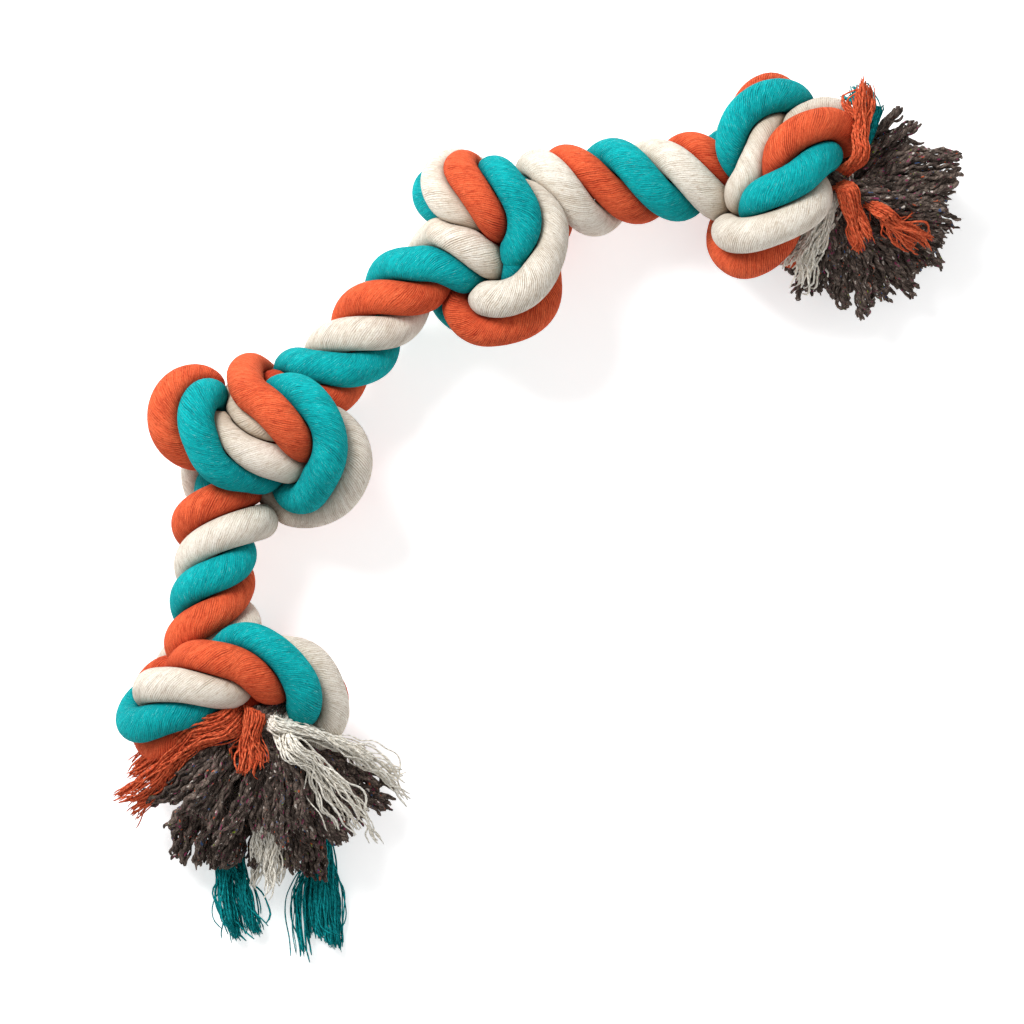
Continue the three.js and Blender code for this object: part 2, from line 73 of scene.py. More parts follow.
# rope centre line, x and y seen from above, z from ROPE_HEIGHT
ROPE_ROUTE = [
    # knot 1, from its tassel
    (-0.1335, -0.126, 0.007), (-0.1345, -0.109, 0.006), (-0.137, -0.095, 0.001),
    (-0.142, -0.084, -0.0125), (-0.154, -0.08, -0.0185), (-0.1675, -0.0885, -0.02),
    (-0.178, -0.1, -0.0145), (-0.183, -0.11, 0.001), (-0.179, -0.1, 0.0155),
    (-0.1645, -0.0885, 0.0185), (-0.1415, -0.08, 0.0185), (-0.1205, -0.0835, 0.0165),
    (-0.106, -0.0955, 0.0075), (-0.108, -0.108, -0.0085), (-0.123, -0.109, -0.0155),
    (-0.1375, -0.1, -0.0125), (-0.1485, -0.0855, -0.004),
    # first span
    (-0.155, -0.0665, 0.0), (-0.1555, -0.046, 0.0), (-0.1535, -0.025, 0.0), (-0.1485, -0.005, 0.0),
    # knot 2
    (-0.1465, 0.0095, -0.0075), (-0.149, 0.025, -0.0165), (-0.153, 0.043, -0.0175),
    (-0.159, 0.055, -0.003), (-0.165, 0.054, 0.0125), (-0.16, 0.042, 0.0185),
    (-0.1425, 0.033, 0.0175), (-0.1225, 0.034, 0.004), (-0.109, 0.039, -0.0135),
    (-0.11, 0.041, -0.02), (-0.12, 0.044, -0.014), (-0.126, 0.046, 0.006), (-0.118, 0.046, 0.019),
    (-0.1045, 0.041, 0.0185), (-0.101, 0.032, 0.0115), (-0.112, 0.025, 0.0),
    (-0.127, 0.029, -0.009), (-0.124, 0.042, -0.005), (-0.108, 0.0605, 0.0),
    # second span
    (-0.097, 0.0705, 0.0), (-0.087, 0.079, 0.001), (-0.071, 0.1, 0.0), (-0.0555, 0.1155, 0.003),
    (-0.047, 0.1225, 0.006),
    # knot 3
    (-0.0375, 0.13, 0.0105), (-0.0185, 0.133, 0.004), (-0.006, 0.1395, -0.0105),
    (-0.005, 0.153, -0.0185), (-0.015, 0.158, -0.0185), (-0.026, 0.162, -0.004),
    (-0.023, 0.161, 0.0125), (-0.0105, 0.162, 0.0185), (0.0025, 0.156, 0.0185),
    (0.0085, 0.1385, 0.0185), (0.003, 0.1185, 0.0165), (-0.012, 0.111, 0.0075),
    (-0.024, 0.1195, -0.0082), (-0.014, 0.136, -0.0085), (0.004, 0.155, -0.003),
    # third span
    (0.02, 0.1645, 0.0), (0.027, 0.167, 0.0), (0.051, 0.1705, 0.0), (0.077, 0.172, 0.0),
    (0.1005, 0.172, 0.0), (0.112, 0.17, 0.0),
    # knot 4, to its tassel
    (0.118, 0.1715, -0.002), (0.129, 0.18, -0.014), (0.139, 0.19, -0.019), (0.146, 0.198, -0.011),
    (0.144, 0.203, 0.003), (0.137, 0.2025, 0.014), (0.129, 0.198, 0.018), (0.1265, 0.187, 0.017),
    (0.1295, 0.176, 0.009), (0.137, 0.165, -0.006), (0.145, 0.16, -0.017), (0.152, 0.168, -0.021),
    (0.155, 0.182, -0.012), (0.153, 0.192, 0.007), (0.1485, 0.194, 0.019), (0.144, 0.183, 0.022),
    (0.14, 0.17, 0.021), (0.135, 0.159, 0.015), (0.132, 0.152, 0.001), (0.129, 0.157, -0.01),
    (0.133, 0.167, -0.009), (0.143, 0.172, -0.004), (0.154, 0.171, -0.002), (0.166, 0.1695, 0.0),
    (0.184, 0.168, 0.001),
]

# route points where the pieces part: tail, three spans, tail
TAIL_1 = 1
SPANS = [(17, 21), (40, 44), (60, 65)]
TAIL_2 = len(ROPE_ROUTE) - 2


def lengths(v):
    """Length of every vector."""
    return np.linalg.norm(v, axis=-1)


def units(v):
    """Every vector at length 1."""
    return v / np.maximum(lengths(v), np.finfo(float).tiny)[..., None]


def even_curve(points, step):
    """A smooth curve through the points, in equal steps."""
    p = np.asarray(points, float)
    ends = np.vstack([2 * p[0] - p[1], p, 2 * p[-1] - p[-2]])
    t = (np.arange(CURVE_PARTS) / CURVE_PARTS)[:, None]
    fine = []
    for a, b, c, d in zip(ends, ends[1:], ends[2:], ends[3:]):
        bend = 2 * a - 5 * b + 4 * c - d
        twist = 3 * b - a - 3 * c + d
        fine.append((2 * b + (c - a) * t + bend * t**2 + twist * t**3) / 2)
    fine = np.vstack(fine + [p[-1:]])
    run = np.concatenate([[0], np.cumsum(lengths(np.diff(fine, axis=0)))])
    want = np.linspace(0, run[-1], max(2, round(run[-1] / step) + 1))
    return np.stack([np.interp(want, run, fine[:, k]) for k in range(3)], axis=1)


def settle(lines, radii, rounds, smooth, soften, push, hold, floor, pinned):
    """Pushes passes apart where they meet; every line stays smooth and near its route."""
    home = np.concatenate(lines)
    r = np.concatenate(radii)
    line = np.concatenate([np.full(len(p), k) for k, p in enumerate(lines)])
    along = np.concatenate([np.arange(len(p)) for p in lines])
    last = np.array([len(p) - 1 for p in lines])[line]
    step = np.array([lengths(p[1] - p[0]) for p in lines])[line]
    inner = (along > 0) & (along < last)
    fixed = (along < pinned) | (along > last - pinned)
    first, second = np.triu_indices(len(r), 1)
    reach = (r[first] + r[second]) * SAME_LINE_SHARE
    run = (along[second] - along[first]) * step[first]
    apart = (line[first] != line[second]) | (run > reach)
    first, second = first[apart], second[apart]
    need = r[first] + r[second] + CLEARANCE
    now = home.copy()
    for turn in range(rounds):
        if turn % LISTING_COUNT == 0:
            near = lengths(now[first] - now[second]) < need * LISTED_SHARE
            i, j, touch = first[near], second[near], need[near]
        bend = np.zeros_like(now)
        bend[1:-1] = (now[:-2] + now[2:]) / 2 - now[1:-1]
        bend[~inner] = 0
        wave = np.zeros_like(now)
        wave[1:-1] = (bend[:-2] + bend[2:]) / 2 - bend[1:-1]
        drift = smooth * (soften * bend - wave) + np.array(hold) * (home - now)
        now[inner] += drift[inner]
        across = now[i] - now[j]
        far = np.maximum(lengths(across), LEAST_APART)
        meet = far < touch
        part = (push * (touch - far) / far)[meet, None] * across[meet]
        move = np.zeros_like(now)
        hits = np.zeros(len(r))
        for ends, way in ((i[meet], part), (j[meet], -part)):
            for k in range(3):
                move[:, k] += np.bincount(ends, way[:, k], len(r))
            hits += np.bincount(ends, minlength=len(r))
        now += move / np.sqrt(np.maximum(hits, 1))[:, None]
        now[fixed] = home[fixed]
        free = ~fixed
        now[free, 2] = np.maximum(now[free, 2], floor + r[free])
    return np.split(now, np.cumsum([len(p) for p in lines])[:-1])


# the rope's centre line, settled, and the station of every route point on it
route = np.array(ROPE_ROUTE) + (0, 0, ROPE_HEIGHT)
drawn = even_curve(route, CURVE_STEP)
stations = []
for place in route:
    start = stations[-1] if stations else 0
    near = lengths(drawn[start : start + SEARCH_COUNT] - place)
    stations.append(start + int(near.argmin()))
rope = settle([drawn], [np.full(len(drawn), ROPE_SQUEEZED_R)], **ROPE_SETTLING)[0]


# The three strands: each is a soft roll of cotton that winds round the rope's centre line.
# In the free spans they keep nearly their full thickness, in the knots they are squeezed.
# Once laid, they are settled against each other, the passes beside them and the ground.
LAY_STEP = 0.0203
STRAND_LAY_R = 0.0103
STRAND_SQUEEZED_R = 0.0073
STRAND_FREE_R = 0.0086
SQUEEZE_STATIONS = 8
AVERAGE_COUNT = 2
FLOOR_SINK = 0.0019
STRAND_SETTLING = dict(
    rounds=160, smooth=0.1, soften=0.1, push=0.35, hold=(0.02, 0.02, 0.02), floor=-FLOOR_SINK,
    pinned=3,
)

# which strand lies uppermost at a route point, counted on along the rope:
# 0 orange, 1 teal, 2 cream, 3 orange again
UPPERMOST_SHARES = [
    (7, 0.0), (8, 1.1), (9, 2.0), (10, 3.0), (11, 3.8), (12, 4.5),
    (18, 0.33), (19, 1.44), (20, 2.48),
    (25, 0.65), (26, 1.0), (27, 1.5), (28, 2.2),
    (32, 2.7), (33, 3.1), (34, 3.6), (35, 4.1),
    (40, 0.8), (41, 1.3), (42, 2.5), (43, 3.3), (45, 4.0), (46, 4.7),
    (51, 2.1), (52, 3.3), (53, 4.1), (54, 4.6), (55, 4.9), (56, 5.4),
    (61, 1.9), (62, 3.2), (63, 4.35), (64, 5.45), (66, 6.2),
    (71, 1.2), (72, 1.5), (73, 1.7), (74, 2.1),
    (79, 2.8), (80, 3.1), (81, 3.4), (82, 4.0), (83, 4.5), (84, 5.0),
]


def carried_frames(p):
    """Tangent, normal and side at every point, the normal carried along from +Z."""
    tangent = np.empty_like(p)
    tangent[1:-1] = p[2:] - p[:-2]
    tangent[0] = p[1] - p[0]
    tangent[-1] = p[-1] - p[-2]
    tangent = units(tangent)
    normal = np.empty_like(p)
    held = np.array([0.0, 0.0, 1.0])
    for i, t in enumerate(tangent):
        held = held - t * held.dot(t)
        held /= np.linalg.norm(held)
        normal[i] = held
    return tangent, normal, np.cross(normal, tangent)


def spread(places, values, count):
    """Value at every station of a line from values given at a few of them."""
    out = np.interp(np.arange(count), places, values)
    padded = np.pad(out, AVERAGE_COUNT, mode="edge")
    width = 2 * AVERAGE_COUNT + 1
    return np.convolve(padded, np.ones(width) / width, "valid")


def count_lay():
    """How many strands have passed at every station, from the uppermost ones."""
    _, normal, side = carried_frames(rope)
    slope = CURVE_STEP / LAY_STEP
    at, turns = [], []
    for order, strand in UPPERMOST_SHARES:
        here = stations[order]
        facing = math.atan2(side[here][2], normal[here][2]) * STRANDS / math.tau
        want = strand - facing
        if turns:
            guess = turns[-1] + (here - at[-1]) * slope
            want += STRANDS * math.floor((guess - want) / STRANDS + 0.5)
        at.append(here)
        turns.append(want)
    end = len(rope) - 1
    turns = [turns[0] - at[0] * slope, *turns, turns[-1] + (end - at[-1]) * slope]
    return spread([0, *at, end], turns, len(rope))


def lay_strands():
    """Three strands laid round the centre line, then settled against each other."""
    _, normal, side = carried_frames(rope)
    lay = count_lay()
    laid = []
    for k in range(STRANDS):
        angle = (math.tau * (k - lay) / STRANDS)[:, None]
        laid.append(rope + STRAND_LAY_R * (normal * np.cos(angle) + side * np.sin(angle)))
    i = np.arange(len(rope))
    spans = [(stations[a], stations[b]) for a, b in SPANS]
    in_span = np.max([np.minimum(i - a, b - i) for a, b in spans], axis=0)
    free = np.clip(0.5 + in_span / SQUEEZE_STATIONS, 0, 1)
    contact = STRAND_SQUEEZED_R + (STRAND_FREE_R - STRAND_SQUEEZED_R) * free
    return settle(laid, [contact] * STRANDS, **STRAND_SETTLING)


strands = lay_strands()
shift = np.array([*CENTRE, GROUND_CUT])


# The strands' covers: a sleeve of fine dyed cotton yarns, wound steeply round each core.
# A cover is round where it is free, and flat where another pass or the ground presses it.
# This section shapes them: every ring of the skin is stopped half way to what it meets.
STRAND_R = 0.0096
FINE_STEP = 0.0018
STRAND_SIDES = 36
PRESS_REACH = 0.024
PRESS_SAME_RUN = 0.030
PRESS_SOFTNESS = 0.0004
FACING_LEAST = 0.05
UNSTOPPED_REACH = 1.0
SKIN_BLUR_COUNT = 1
CREASE_DEPTH = 0.0022
# rounds of blur that spread the crease into painted shade
CREASE_SHADE_BLUR_COUNT = 14


def blurred(reach, count):
    """Each ring's reach averaged with its neighbours round and along the strand."""
    for _ in range(count):
        reach = (reach + np.roll(reach, 1, axis=1) + np.roll(reach, -1, axis=1)) / 3
        padded = np.vstack([reach[:1], reach, reach[-1:]])
        reach = (padded[:-2] + padded[1:-1] + padded[2:]) / 3
    return reach


def strand_tube(points):
    """A strand's fine centre line and the outward directions of every ring."""
    line = even_curve(points, FINE_STEP)
    _, normal, side = carried_frames(line)
    angle = (np.arange(STRAND_SIDES) * math.tau / STRAND_SIDES)[:, None]
    out = normal[:, None] * np.cos(angle) + side[:, None] * np.sin(angle)
    return {"line": line, "out": out}


def pressed_reach(here, out, others):
    """How far a ring's skin stands out each way before a pass or the ground stops it."""
    across = others - here
    far = lengths(across)
    facing = out @ (across / far[:, None]).T
    half = far / 2 / np.maximum(facing, FACING_LEAST)
    passes = np.where(facing > FACING_LEAST, half, UNSTOPPED_REACH)
    down = -out[:, 2]
    ground = (here[2] - GROUND_CUT) / np.maximum(down, FACING_LEAST)
    ground = np.where(down > FACING_LEAST, ground, UNSTOPPED_REACH)
    stop = np.column_stack([passes, ground, np.full(len(ground), STRAND_R)])
    least = stop.min(axis=1)
    soft = np.exp((least[:, None] - stop) / PRESS_SOFTNESS).sum(axis=1)
    return least - PRESS_SOFTNESS * np.log(soft)


def press(tubes):
    """Skin, creases, painted shade and facing of every strand, pressed by neighbours and ground.

    The facing points into the strand, as the faces of its mesh do.
    """
    centres = np.concatenate([t["line"] for t in tubes])
    owner = np.concatenate([np.full(len(t["line"]), k) for k, t in enumerate(tubes)])
    along = np.concatenate([np.arange(len(t["line"])) for t in tubes]) * FINE_STEP
    for k, tube in enumerate(tubes):
        rings = []
        for i, here in enumerate(tube["line"]):
            near = lengths(centres - here) < PRESS_REACH
            near &= (owner != k) | (np.abs(along - i * FINE_STEP) > PRESS_SAME_RUN)
            rings.append(pressed_reach(here, tube["out"][i], centres[near]))
        reach = blurred(np.array(rings), SKIN_BLUR_COUNT)
        skin = tube["line"][:, None] + tube["out"] * reach[..., None] - shift
        skin[..., 2] = np.maximum(skin[..., 2], 0)
        around = np.roll(skin, -1, axis=1) - np.roll(skin, 1, axis=1)
        tube["skin"] = skin
        tube["face"] = units(np.cross(around, np.gradient(skin, axis=0)))
        tube["crease"] = np.clip((STRAND_R - reach) / CREASE_DEPTH, 0, 1)
        # painted shade: the crease blurred wide, darkening the cover towards where it is pressed
        tube["shade"] = blurred(tube["crease"], CREASE_SHADE_BLUR_COUNT)


tubes = [strand_tube(points) for points in strands]
press(tubes)


# The covers' finish: matt cotton with the ridges of single yarns, worn smooth and felted
# in places, uneven dye, painted shade in the creases and in the open gaps between
# yarns, and pale lint caught in the yarns.
YARN_W = 0.00092
YARN_ANGLE = math.radians(56)
YARN_COUNT = round(math.tau * STRAND_R * math.cos(YARN_ANGLE) / YARN_W)
YARNS_PER_M = YARN_COUNT * math.tan(YARN_ANGLE) / (math.tau * STRAND_R)
COVER_RELIEF = 0.00042
YARN_WANDER = 4
YARN_JITTER = 0.45
GAP_SHARPNESS = 3.0
# tones of the covers: the deep tone serves the uneven dye, felt and fibre lie, and also the
# painted shade in gaps and creases
COVER_TONES = {
    "orange": dict(base=(228, 82, 44), deep=(146, 18, 12), light=(255, 130, 84),
                   lint=(255, 190, 150), lint_share=0.30),
    "teal": dict(base=(0, 158, 162), deep=(0, 88, 100), light=(24, 204, 206),
                 lint=(170, 240, 236), lint_share=0.36),
    "cream": dict(base=(241, 234, 219), deep=(178, 152, 122), light=(255, 250, 241),
                  lint=(186, 164, 136), lint_share=0.30),
}


class Shade:
    """A socket of a material. Sums, products and powers of shades add their Math nodes."""

    def __init__(self, tree, socket=None):
        self.tree = tree
        self.socket = socket

    def node(self, kind, settings, sockets, out=0):
        """Adds a node: its settings first, then a value or a link for each socket named."""
        made = self.tree.nodes.new(kind)
        for key, value in settings.items():
            setattr(made, key, value)
        for key, value in sockets.items():
            if isinstance(value, Shade):
                self.tree.links.new(value.socket, made.inputs[key])
            else:
                made.inputs[key].default_value = value
        return Shade(self.tree, made.outputs[out] if made.outputs else None)

    def math(self, operation, a, b):
        """Adds one Math node."""
        return self.node("ShaderNodeMath", {"operation": operation}, {0: a, 1: b})

    def __add__(self, other):
        return self.math("ADD", self, other)

    def __sub__(self, other):
        return self.math("SUBTRACT", self, other)

    def __mul__(self, other):
        return self.math("MULTIPLY", self, other)

    def __pow__(self, other):
        return self.math("POWER", self, other)

    def __mod__(self, other):
        return self.math("FLOORED_MODULO", self, other)

    def __floordiv__(self, other):
        return self.math("FLOOR", self * (1 / other), 0.0)

    def __abs__(self):
        return self.math("ABSOLUTE", self, 0.0)

    __radd__ = __add__
    __rmul__ = __mul__


def blank_material(name):
    """A new material, its empty tree, and its places: u round and v along a yarn, and xyz."""
    material = bpy.data.materials.new(name)
    material.use_nodes = True
    material.node_tree.nodes.clear()
    tree = Shade(material.node_tree)
    uv = tree.node("ShaderNodeUVMap", {"uv_map": "yarn"}, {})
    u = tree.node("ShaderNodeSeparateXYZ", {}, {0: uv}, out="X")
    v = tree.node("ShaderNodeSeparateXYZ", {}, {0: uv}, out="Y")
    return material, u, v, tree.node("ShaderNodeTexCoord", {}, {}, out="Object")


def attribute(shade, name):
    """A number that the mesh holds at its points."""
    return shade.node("ShaderNodeAttribute", {"attribute_name": name}, {}, out="Fac")


def noise(at, scale, detail=2.0, roughness=0.5):
    """Cloudy noise at a place, near 0.5."""
    sockets = {"Vector": at, "Scale": scale, "Detail": detail, "Roughness": roughness}
    return at.node("ShaderNodeTexNoise", {}, sockets)


def point(x, y, z=0.0):
    """A place for a noise, from three shades or numbers."""
    return x.node("ShaderNodeCombineXYZ", {}, {0: x, 1: y, 2: z})


def rise(value, start, end, top=1.0):
    """From nothing at start to top at end, level past both."""
    return value.node("ShaderNodeMapRange", {}, {0: value, 1: start, 2: end, 4: top})


def mix(share, a, b):
    """Colour a where the share is 0, b where it is 1."""
    return share.node("ShaderNodeMix", {"data_type": "RGBA"}, {0: share, 6: a, 7: b}, out=2)


def dye(tone):
    """Linear colour of a tone read in sRGB, 0 to 255."""
    shares = np.array(tone) / 255
    linear = np.where(shares < 0.04045, shares / 12.92, ((shares + 0.055) / 1.055) ** 2.4)
    return (*linear.tolist(), 1.0)


def cotton(tone, height, relief, gloss, glow):
    """Matt cotton with its tone and relief, and the faint sheen of the fibres on it."""
    sockets = {"Strength": 1.0, "Distance": relief, "Height": height}
    bump = height.node("ShaderNodeBump", {}, sockets)
    skin = tone.node("ShaderNodeBsdfPrincipled", {}, {
        "Base Color": tone, "Roughness": 0.95, "Normal": bump, "Specular IOR Level": gloss,
        "Sheen Weight": 0.2, "Sheen Roughness": 0.45, "Sheen Tint": glow,
    })
    skin.node("ShaderNodeOutputMaterial", {}, {"Surface": skin})


def cover_material(name, base, deep, light, lint, lint_share):
    """Fine yarns wound round a strand, with gaps, wear, felting, dye, lint and painted shade."""
    material, u, v, place = blank_material(f"{name}_cover")
    base, deep, light, lint = dye(base), dye(deep), dye(light), dye(lint)

    # which yarn this is, counted round the strand, and how wide the gap beside it stands open
    wander = (noise(place, scale=45) - 0.5) * YARN_WANDER
    jitter = (noise(place, scale=300) - 0.5) * YARN_JITTER
    phase = u * YARN_COUNT - v * YARNS_PER_M + wander + jitter
    order = phase // 1
    uneven = order.node("ShaderNodeTexWhiteNoise", {"noise_dimensions": "1D"}, {"W": order})
    worn = noise(point(v * 95 + order * 7.31, order), scale=1, roughness=0.6)
    open_share = 0.45 + 0.55 * rise(noise(place, scale=38), 0.36, 0.62)
    open_share = open_share * (0.25 + 0.9 * rise(worn, 0.36, 0.62)) * (0.55 + 0.9 * uneven)
    gap = abs(phase % 1 * 2 - 1) ** GAP_SHARPNESS * open_share

    # the tone: fibres, uneven dye, felt, painted shade in the gaps and creases, and lint
    fibre = noise(point(phase * 3.1, v * 170), scale=1, detail=4, roughness=0.75)
    lie = noise(point(phase * 1.7, v * 480, 9.0), scale=1, detail=3, roughness=0.75)
    strays = noise(point(phase * 7, v * 420, 4.0), scale=1, roughness=0.6)
    felt = noise(place, scale=1500, detail=3, roughness=0.8)
    cloud = noise(place, scale=75, detail=3, roughness=0.6)
    tone = mix(rise(fibre, 0.3, 0.62, top=0.8), base, light)
    tone = mix(rise(cloud, 0.5, 0.75, top=0.25), tone, deep)
    tone = mix(uneven * 0.16, tone, deep)
    tone = mix(rise(lie, 0.48, 0.33, top=0.65), tone, deep)
    tone = mix(rise(lie, 0.54, 0.68, top=0.7), tone, light)
    tone = mix(rise(felt, 0.5, 0.36, top=0.35), tone, deep)
    # painted shade in the open gaps between the yarns
    tone = mix(gap * 0.95, tone, deep)
    # painted shade, darkest at the creases where the strands press
    tone = mix(rise(attribute(tone, "shade"), 0.02, 0.72, top=0.86), tone, deep)
    tone = mix(rise(strays, 1 - lint_share, 1.08 - lint_share, top=0.7), tone, lint)
    height = fibre * 0.9 - gap + (felt + strays) * 0.6
    cotton(tone, height, COVER_RELIEF, 0.1, light)
    return material


COVER = {name: cover_material(name, **tones) for name, tones in COVER_TONES.items()}


# The fibres: short ends of cotton on the covers and on the core's yarns. Each is a thin
# spike of three sides, rooted in the skin. Those on the core's yarns stand off. Most of
# those on a cover lean into the strand, as its facing does, and only a few show.
HAIR_SIDES = 3
HAIR_RINGS = 2
HAIR_POINTS = HAIR_SIDES * HAIR_RINGS
HAIR_TIP_SHARE = 0.3
HAIR_OFF_SHARES = (0.25, 0.9)
HAIR_LENGTH_SHARES = (0.4, 1.3)
HAIR_SCATTER_SHARE = 0.35
HAIR_CURL_SHARE = 0.9
COVER_HAIRS_PER_M2 = 62000
COVER_HAIR = dict(length=0.0015, radius=0.000045)
YARN_HAIRS = 18
YARN_HAIR = dict(length=0.0022, radius=0.00006)
rng = np.random.default_rng(7)


def fibres(roots, out, along, length, radius):
    """Thin fibres at the roots, each leaning the way of out and along the yarn."""
    count = len(roots)
    off = rng.uniform(*HAIR_OFF_SHARES, (count, 1))
    lean = units(out * off + along * rng.normal(size=(count, 1))
                 + rng.normal(size=(count, 3)) * HAIR_SCATTER_SHARE)
    curl = units(lean + rng.normal(size=(count, 3)) * HAIR_CURL_SHARE)
    reach = (length * rng.uniform(*HAIR_LENGTH_SHARES, (count, 1)))[:, None]
    share = np.linspace(0, 1, HAIR_RINGS)[None, :, None]
    bent = lean[:, None] * share + (curl - lean)[:, None] * share**2 / 2
    line = roots[:, None] + bent * reach
    line[..., 2] = np.maximum(line[..., 2], radius)
    side = units(np.cross(lean, out + curl))
    other = np.cross(side, lean)
    angle = (np.arange(HAIR_SIDES) * math.tau / HAIR_SIDES)[:, None]
    ring = side[:, None] * np.cos(angle) + other[:, None] * np.sin(angle)
    thick = radius * (1 - (1 - HAIR_TIP_SHARE) * share)[..., None]
    return line[:, :, None] + ring[:, None] * thick


# The pieces of the strands: a knot's or a free span's stretch of each strand.
# The real strands run through. They are parted here so that every knot rides on its own
# body, and the spans between two knots are set in place.
FRAY_RUN = 0.015
FIBRE_CREASE_MOST = 0.1


def tube_mesh(name, grids, runs, values, material, facing=None):
    """A mesh of closed tubes, each a (rings, sides, 3) array, with yarn UVs and point values.

    The faces are wound so that they point into the tubes.
    """
    quads, caps, uvs, cap_uvs = [], [], [], []
    base = 0
    for grid, run in zip(grids, runs):
        rings, sides = grid.shape[:2]
        ring, side = np.meshgrid(np.arange(rings - 1), np.arange(sides), indexing="ij")
        near = base + ring * sides + side
        far = base + ring * sides + (side + 1) % sides
        quads.append(np.stack([near, far, far + sides, near + sides], axis=-1).reshape(-1, 4))
        u = np.stack([side, side + 1, side + 1, side], axis=-1) / sides
        v = np.stack([run[ring], run[ring], run[ring + 1], run[ring + 1]], axis=-1)
        uvs.append(np.stack([u, v], axis=-1).reshape(-1, 2))
        end = np.arange(sides)
        caps += [base + end[::-1], base + (rings - 1) * sides + end]
        for at in (run[0], run[-1]):
            cap_uvs.append(np.column_stack([end / sides, np.full(sides, at)]))
        base += rings * sides
    quads = np.vstack(quads)
    corners = np.concatenate([quads.ravel(), *caps])
    sizes = [4] * len(quads) + [len(c) for c in caps]
    mesh = bpy.data.meshes.new(name)
    mesh.vertices.add(base)
    points = np.concatenate([g.reshape(-1, 3) for g in grids])
    mesh.vertices.foreach_set("co", points.astype(np.float32).ravel())
    mesh.loops.add(len(corners))
    mesh.loops.foreach_set("vertex_index", corners.astype(np.int32))
    mesh.polygons.add(len(sizes))
    mesh.polygons.foreach_set("loop_start", np.cumsum([0] + sizes[:-1]).astype(np.int32))
    mesh.update(calc_edges=True)
    mesh.validate()
    mesh.polygons.foreach_set("use_smooth", np.arange(len(sizes)) < len(quads))
    layer = mesh.uv_layers.new(name="yarn")
    layer.data.foreach_set("uv", np.vstack(uvs + cap_uvs).astype(np.float32).ravel())
    for key, value in values.items():
        store = mesh.attributes.new(key, "FLOAT", "POINT")
        store.data.foreach_set("value", np.asarray(value, np.float32).ravel())
    if facing is not None:
        lean = np.zeros((len(corners), 3))
        lean[: quads.size] = facing[quads.ravel()]
        mesh.normals_split_custom_set(lean.tolist())
    mesh.materials.append(material)
    piece = bpy.data.objects.new(name, mesh)
    bpy.context.scene.collection.objects.link(piece)
    return piece


def cover_piece(node, name, tube, a, b):
    """One strand's cover between two cuts, with its fibres."""
    skin, face = tube["skin"][a : b + 1], tube["face"][a : b + 1]
    run = np.arange(a, b + 1) * FINE_STEP
    area = len(skin) * FINE_STEP * math.tau * STRAND_R
    count = round(area * COVER_HAIRS_PER_M2)
    free = np.argwhere(tube["crease"][a + 1 : b] < FIBRE_CREASE_MOST) + (1, 0)
    pick = free[rng.integers(len(free), size=count)]
    at = (pick[:, 0], pick[:, 1])
    along = units(np.gradient(skin, axis=0))[at]
    fuzz = fibres(skin[at], face[at], along, **COVER_HAIR)
    runs = [run, *[np.full(HAIR_RINGS, run[i]) for i in pick[:, 0]]]
    # painted crease shade at every point of the skin; the fibres get none
    shade = np.concatenate([tube["shade"][a : b + 1].ravel(), np.zeros(count * HAIR_POINTS)])
    facing = np.concatenate([face.reshape(-1, 3), np.repeat(face[at], HAIR_POINTS, axis=0)])
    piece = tube_mesh(f"{node}_cover", [skin, *fuzz], runs, {"shade": shade}, COVER[name],
                      facing)
    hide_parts(node)
    return piece


def cover_strand(k, name):
    """All pieces of one strand: knots ride on their bodies, spans are set in place between two."""
    ends = [stations[TAIL_1], *[stations[p] for pair in SPANS for p in pair], stations[TAIL_2]]
    tube = tubes[k]
    cuts = [int(lengths(tube["line"] - strands[k][s]).argmin()) for s in ends]
    cuts[0] += round(FRAY_RUN / FINE_STEP)
    cuts[-1] -= round(FRAY_RUN / FINE_STEP)
    for order, (a, b) in enumerate(zip(cuts, cuts[1:])):
        number = order // 2 + 1
        if order % 2 == 0:
            piece = cover_piece(f"knot_{number}_{name}", name, tube, a, b)
            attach(piece, f"knot_{number}")
            continue
        piece = cover_piece(f"span_{number}_{name}", name, tube, a, b)
        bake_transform(piece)


for k, name in enumerate(COLOURS):
    cover_strand(k, name)


# The tassels: past each end knot the strands are cut, and their yarns open out in locks.
# The thick dark yarns are the strands' cores, spun of recycled fibre, and the fine dyed
# ones are the covers' yarns. The locks lie on each other and on the ground.

# where the strands are cut: the axis across the cut and its place, and the gap beyond it
TAIL_PLANE_1 = (1, -0.111)
TAIL_PLANE_2 = (0, 0.171)
CUT_GAP = 0.0004

# how the locks settle
LOCK_STEP = 0.009
LOCK_SETTLED_ROOT_R = 0.0055
LOCK_SETTLED_TIP_R = 0.010
LOCK_SETTLING = dict(
    rounds=120, smooth=0.1, soften=0.25, push=0.3, hold=(0.02, 0.02, 0.02), floor=-FLOOR_SINK,
    pinned=0,
)

